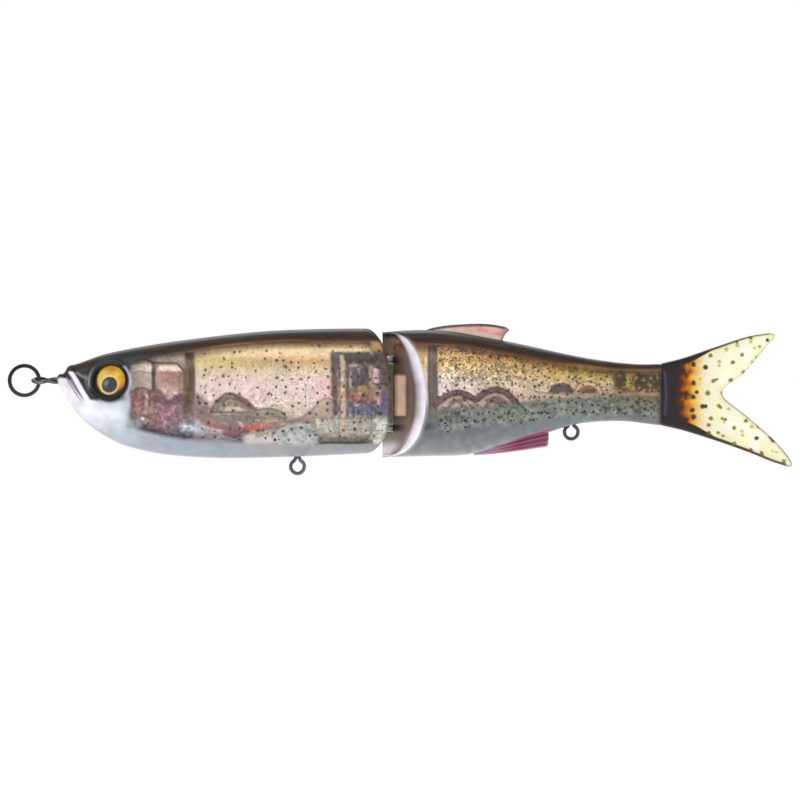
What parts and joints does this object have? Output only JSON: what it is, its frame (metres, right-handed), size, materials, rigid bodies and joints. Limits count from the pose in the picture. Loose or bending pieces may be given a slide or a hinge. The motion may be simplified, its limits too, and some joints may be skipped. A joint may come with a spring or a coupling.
{
  "type": "swimbait",
  "caption": "Jointed glide swimbait: clear two-part hard body on a vertical hinge pin, soft forked tail, hook hangers under the belly and a split ring on the nose.",
  "frame": {"origin": "centre of the line tie's eye at the nose", "axes": "+X from the nose to the tail, +Z towards the back, +Y towards the right flank"},
  "size_m": [0.1974, 0.0218, 0.0381],
  "materials": {
    "clear_shell": "clear polished plastic, sprayed dark brown on the back and pearl on the belly, with small dark spots",
    "printed_foil": "printed glitter film, gold above, pink in the middle and silver below, with printed gills and organs",
    "moulded_block": "semi-clear moulded plastic",
    "steel": "polished stainless wire",
    "ring_wire": "black nickel",
    "weight": "cast metal, matt",
    "eye_print": "printed iris with a dark pupil",
    "eye_lens": "clear resin dome",
    "fin_pink": "translucent pink plastic",
    "fin_maroon": "translucent wine-red plastic",
    "soft_tail": "soft translucent plastic, dark root, amber, with small dark spots"
  },
  "bodies": {
    "front": {"front_shell_left": "clear_shell", "front_shell_right": "clear_shell", "front_foil_left": "printed_foil", "front_foil_right": "printed_foil", "front_hinge_block": "moulded_block", "upper_hinge_eye": "steel", "lower_hinge_eye": "steel", "nose_weight": "weight", "front_belly_weight": "weight", "line_tie": "steel", "front_hook_hanger": "steel", "eye_disc_left": "eye_print", "eye_disc_right": "eye_print", "eye_dome_left": "eye_lens", "eye_dome_right": "eye_lens"},
    "line_ring": {"line_ring": "ring_wire"},
    "rear": {"rear_shell_left": "clear_shell", "rear_shell_right": "clear_shell", "rear_foil_left": "printed_foil", "rear_foil_right": "printed_foil", "rear_hinge_block": "moulded_block", "hinge_pin": "steel", "rear_belly_weight": "weight", "rear_hook_hanger": "steel", "dorsal_fin": "fin_pink", "anal_fin": "fin_maroon", "tail_root": "soft_tail"},
    "tail": {"tail_fin": "soft_tail"}
  },
  "joints": [
    {"name": "body_hinge", "type": "hinge", "parent": "front", "child": "rear", "pos_m": [0.0905, 0, -0.0029], "axis": [0, 0, 1], "range_deg": [-35, 35]},
    {"name": "tail_flex", "type": "hinge", "parent": "rear", "child": "tail", "pos_m": [0.1603, 0, -0.0035], "axis": [0, 0, 1], "range_deg": [-25, 25], "stiffness_Nm_per_rad": 0.01},
    {"name": "line_ring_swing", "type": "hinge", "parent": "front", "child": "line_ring", "pos_m": [-0.0017, 0, 0], "axis": [0, 1, 0], "range_deg": [-55, 55]}
  ]
}
